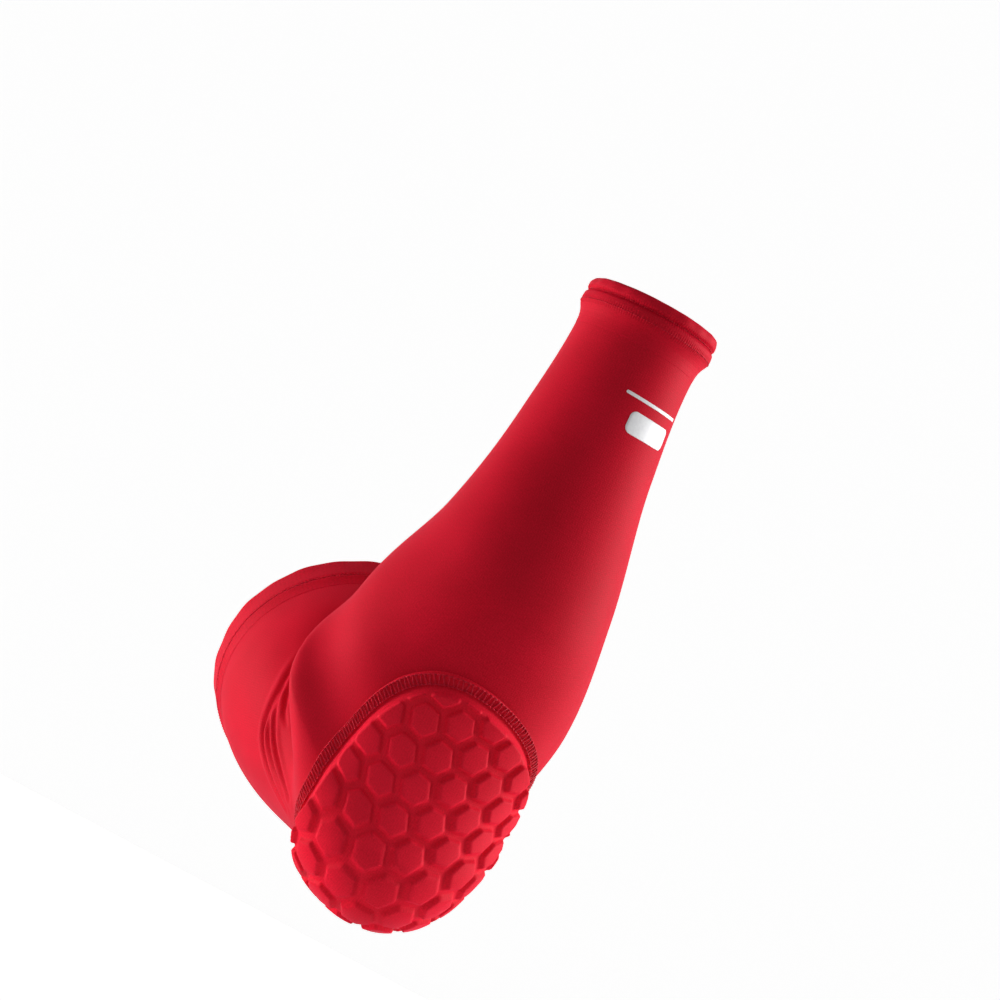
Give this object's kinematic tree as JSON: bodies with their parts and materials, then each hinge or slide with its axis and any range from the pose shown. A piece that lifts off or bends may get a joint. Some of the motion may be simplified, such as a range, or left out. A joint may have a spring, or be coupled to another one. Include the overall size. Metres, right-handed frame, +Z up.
{
  "type": "padded arm sleeve",
  "caption": "Compression arm sleeve in its worn, bent shape, with a honeycomb foam pad over the elbow and upper forearm, hemmed at the wrist and the upper arm.",
  "frame": {"origin": "the wearer's elbow joint, in the middle of the bend, where the two halves of the sleeve turn about each other", "axes": "+Z runs up the forearm from the elbow to the wrist opening, Y is the axis that the elbow bends about, and the upper arm leaves towards -X, 64 degrees away from +Z"},
  "size_m": [0.1703, 0.1144, 0.2634],
  "materials": {
    "knit": "fine stretch knit, soft sheen",
    "pad_fabric": "stretch knit moulded over foam",
    "hem": "folded stretch knit",
    "thread": "sewing thread",
    "lining": "brushed lining",
    "foam": "closed-cell foam",
    "elastic": "woven elastic",
    "silicone": "silicone, satin",
    "print": "heat-transfer film, satin",
    "label": "woven satin ribbon, blank"
  },
  "bodies": {
    "upper_sleeve": {"upper_knit": "knit", "elbow_knit": "knit", "pad_skin": "pad_fabric", "upper_hem": "hem", "upper_flatlock_seam": "thread", "elbow_flatlock_seam": "thread", "upper_stitch": "thread", "pad_seam": "thread", "pad_lining": "lining", "foam_row_01": "foam", "foam_row_02": "foam", "foam_row_03": "foam", "foam_row_04": "foam", "foam_row_05": "foam", "foam_row_06": "foam", "foam_row_07": "foam", "foam_row_08": "foam", "upper_elastic": "elastic", "upper_gripper_tape": "silicone", "care_label": "label"},
    "forearm_sleeve": {"forearm_knit": "knit", "forearm_flatlock_seam": "thread", "wrist_hem": "hem", "wrist_elastic": "elastic", "wrist_stitch_outer": "thread", "wrist_stitch_inner": "thread", "wrist_print": "print"}
  },
  "joints": [
    {"name": "elbow_bend", "type": "hinge", "parent": "upper_sleeve", "child": "forearm_sleeve", "pos_m": [0, 0, 0], "axis": [0, -1, 0], "range_deg": [-60, 20], "deforming": ["elbow_knit", "elbow_flatlock_seam", "pad_lining", "pad_skin", "pad_seam", "foam_row_01", "foam_row_02", "foam_row_03", "foam_row_04", "foam_row_05", "foam_row_06", "foam_row_07", "foam_row_08"]}
  ]
}
